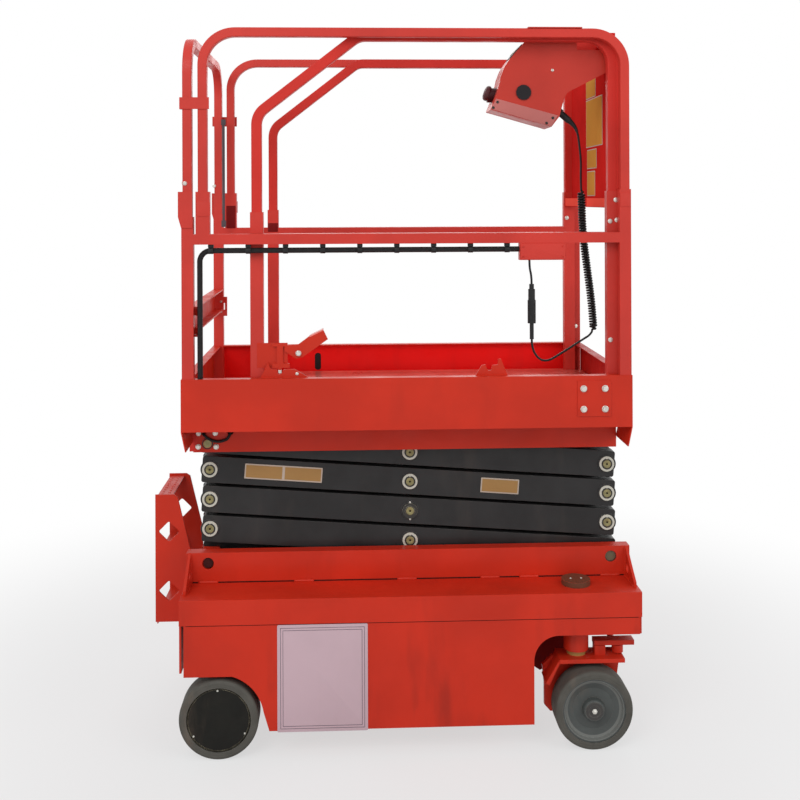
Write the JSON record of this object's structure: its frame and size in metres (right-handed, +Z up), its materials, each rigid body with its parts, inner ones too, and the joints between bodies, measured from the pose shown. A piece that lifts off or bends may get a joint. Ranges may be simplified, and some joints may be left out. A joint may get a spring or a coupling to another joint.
{
  "type": "small self-propelled electric slab scissor lift, four scissor stages",
  "caption": "Small self-propelled electric scissor lift, stowed, with a stack of dark scissor arms, a red slab chassis with ladder and a railed platform with slide-out deck.",
  "frame": {"origin": "on the floor under the middle of the overall box", "axes": "+X forward towards the steered wheels, +Y to the machine's left, +Z up"},
  "size_m": [1.461, 0.76, 2.1208],
  "materials": {
    "red_paint": "orange-red gloss enamel, lightly worn",
    "dark_arm_paint": "dark grey satin paint",
    "dark_steel": "dark grey satin paint",
    "pin_steel": "zinc plated pins with pale collars",
    "chromed_rod": "hard chromed rod",
    "tyre_rubber": "non-marking grey solid rubber",
    "black_cable": "black cable sheath, slight sheen",
    "hub_grey": "grey satin paint"
  },
  "bodies": {
    "base": {"chassis_deck": "red_paint", "side_skirt_right": "red_paint", "side_skirt_left": "red_paint", "belly_tray": "dark_steel", "battery_block": "dark_steel", "base_rails": "red_paint", "base_pins": "pin_steel", "ladder": "red_paint", "rear_axle": "dark_steel", "kingpin_housings": "red_paint"},
    "rear_wheel_right": {"rear_tyre_right": "tyre_rubber", "rear_hub_right": "hub_grey"},
    "rear_wheel_left": {"rear_tyre_left": "tyre_rubber", "rear_hub_left": "hub_grey"},
    "steering_right": {"knuckle_right": "dark_steel"},
    "front_wheel_right": {"front_tyre_right": "tyre_rubber", "front_hub_right": "hub_grey"},
    "steering_left": {"knuckle_left": "dark_steel"},
    "front_wheel_left": {"front_tyre_left": "tyre_rubber", "front_hub_left": "hub_grey"},
    "steering_link": {"tie_rod": "dark_steel"},
    "inner_stage_1": {"inner_arms_1": "dark_arm_paint", "scissor_pins_1": "pin_steel"},
    "outer_stage_1": {"outer_arms_1": "dark_arm_paint", "base_rollers": "pin_steel"},
    "inner_stage_2": {"inner_arms_2": "dark_arm_paint", "scissor_pins_2": "pin_steel"},
    "outer_stage_2": {"outer_arms_2": "dark_arm_paint"},
    "inner_stage_3": {"inner_arms_3": "dark_arm_paint", "scissor_pins_3": "pin_steel"},
    "outer_stage_3": {"outer_arms_3": "dark_arm_paint"},
    "inner_stage_4": {"inner_arms_4": "dark_arm_paint", "scissor_pins_4": "pin_steel"},
    "outer_stage_4": {"outer_arms_4": "dark_arm_paint"},
    "platform": {"platform_floor": "red_paint", "toe_boards": "red_paint", "platform_rails": "red_paint", "side_rail_right": "red_paint", "side_rail_left": "red_paint", "side_hoop_right": "red_paint", "side_hoop_left": "red_paint", "rear_hoop": "red_paint", "control_box": "red_paint", "junction_box": "red_paint", "cord_upper": "black_cable", "cord_coil": "black_cable", "cord_lower": "black_cable", "cord_tail": "black_cable", "cord_connector": "black_cable", "conduit": "black_cable"},
    "cylinder_barrel": {"cylinder_barrel": "dark_steel"},
    "cylinder_rod": {"cylinder_rod": "chromed_rod"},
    "extension": {"extension_deck": "red_paint", "extension_rail_right": "red_paint", "extension_rail_left": "red_paint", "extension_hoop_right": "red_paint", "extension_hoop_left": "red_paint", "front_rail": "red_paint", "deck_lock": "red_paint"},
    "gate": {"gate": "red_paint"}
  },
  "joints": [
    {"name": "rear_wheel_spin_right", "type": "hinge", "parent": "base", "child": "rear_wheel_right", "pos_m": [-0.5065, -0.34, 0.115], "axis": [0, 1, 0], "continuous": true},
    {"name": "rear_wheel_spin_left", "type": "hinge", "parent": "base", "child": "rear_wheel_left", "pos_m": [-0.5065, 0.34, 0.115], "axis": [0, 1, 0], "continuous": true},
    {"name": "steer_right", "type": "hinge", "parent": "base", "child": "steering_right", "pos_m": [0.5505, -0.3, 0.25], "axis": [0, 0, 1], "range_deg": [-60, 60]},
    {"name": "front_wheel_spin_right", "type": "hinge", "parent": "steering_right", "child": "front_wheel_right", "pos_m": [0.5885, -0.34, 0.115], "axis": [0, 1, 0], "continuous": true},
    {"name": "steer_left", "type": "hinge", "parent": "base", "child": "steering_left", "pos_m": [0.5505, 0.3, 0.25], "axis": [0, 0, 1], "range_deg": [-60, 60]},
    {"name": "front_wheel_spin_left", "type": "hinge", "parent": "steering_left", "child": "front_wheel_left", "pos_m": [0.5885, 0.34, 0.115], "axis": [0, 1, 0], "continuous": true},
    {"name": "tie_rod_pivot", "type": "hinge", "parent": "steering_right", "child": "steering_link", "pos_m": [0.6755, -0.3, 0.27], "axis": [0, 0, 1], "range_deg": [-61, 61]},
    {"name": "lift", "type": "hinge", "parent": "base", "child": "inner_stage_1", "pos_m": [-0.5545, 0, 0.52], "axis": [0, -1, 0], "range_deg": [0, 38]},
    {"name": "outer_stage_1_pivot", "type": "hinge", "parent": "inner_stage_1", "child": "outer_stage_1", "pos_m": [0.059, 0, 0.56525], "axis": [0, -1, 0], "range_deg": [-77, 1]},
    {"name": "inner_stage_2_pivot", "type": "hinge", "parent": "outer_stage_1", "child": "inner_stage_2", "pos_m": [-0.5545, 0, 0.6105], "axis": [0, -1, 0], "range_deg": [-1, 77]},
    {"name": "outer_stage_2_pivot", "type": "hinge", "parent": "inner_stage_2", "child": "outer_stage_2", "pos_m": [0.059, 0, 0.65575], "axis": [0, -1, 0], "range_deg": [-77, 1]},
    {"name": "inner_stage_3_pivot", "type": "hinge", "parent": "outer_stage_2", "child": "inner_stage_3", "pos_m": [-0.5545, 0, 0.701], "axis": [0, -1, 0], "range_deg": [-1, 77]},
    {"name": "outer_stage_3_pivot", "type": "hinge", "parent": "inner_stage_3", "child": "outer_stage_3", "pos_m": [0.059, 0, 0.74625], "axis": [0, -1, 0], "range_deg": [-77, 1]},
    {"name": "inner_stage_4_pivot", "type": "hinge", "parent": "outer_stage_3", "child": "inner_stage_4", "pos_m": [-0.5545, 0, 0.7915], "axis": [0, -1, 0], "range_deg": [-1, 77]},
    {"name": "outer_stage_4_pivot", "type": "hinge", "parent": "inner_stage_4", "child": "outer_stage_4", "pos_m": [0.059, 0, 0.83675], "axis": [0, -1, 0], "range_deg": [-77, 1]},
    {"name": "platform_level", "type": "hinge", "parent": "outer_stage_4", "child": "platform", "pos_m": [-0.5545, 0, 0.882], "axis": [0, -1, 0], "range_deg": [-1, 39]},
    {"name": "barrel_pivot", "type": "hinge", "parent": "inner_stage_1", "child": "cylinder_barrel", "pos_m": [-0.40726, 0, 0.53086], "axis": [0, -1, 0], "range_deg": [-1, 18]},
    {"name": "rod_slide", "type": "slide", "parent": "cylinder_barrel", "child": "cylinder_rod", "axis": [0.9857, 0, 0.1684], "range_m": [-0.005, 0.6704]},
    {"name": "extension_slide", "type": "slide", "parent": "platform", "child": "extension", "axis": [1, 0, 0], "range_m": [0, 0.6]},
    {"name": "gate_swing", "type": "hinge", "parent": "platform", "child": "gate", "pos_m": [-0.5635, -0.341, 1.2625], "axis": [0, 0, -1], "range_deg": [0, 78]}
  ],
  "couplings": [
    {"joint": "steer_left", "follows": "steer_right", "ratio": 1},
    {"joint": "tie_rod_pivot", "follows": "steer_right", "ratio": -1},
    {"joint": "outer_stage_1_pivot", "follows": "lift", "ratio": -2},
    {"joint": "inner_stage_2_pivot", "follows": "lift", "ratio": 2},
    {"joint": "outer_stage_2_pivot", "follows": "lift", "ratio": -2},
    {"joint": "inner_stage_3_pivot", "follows": "lift", "ratio": 2},
    {"joint": "outer_stage_3_pivot", "follows": "lift", "ratio": -2},
    {"joint": "inner_stage_4_pivot", "follows": "lift", "ratio": 2},
    {"joint": "outer_stage_4_pivot", "follows": "lift", "ratio": -2},
    {"joint": "platform_level", "follows": "lift", "ratio": 1},
    {"joint": "barrel_pivot", "follows": "lift", "ratio": 0.44359},
    {"joint": "rod_slide", "follows": "lift", "m_per_rad": 1.0033}
  ]
}
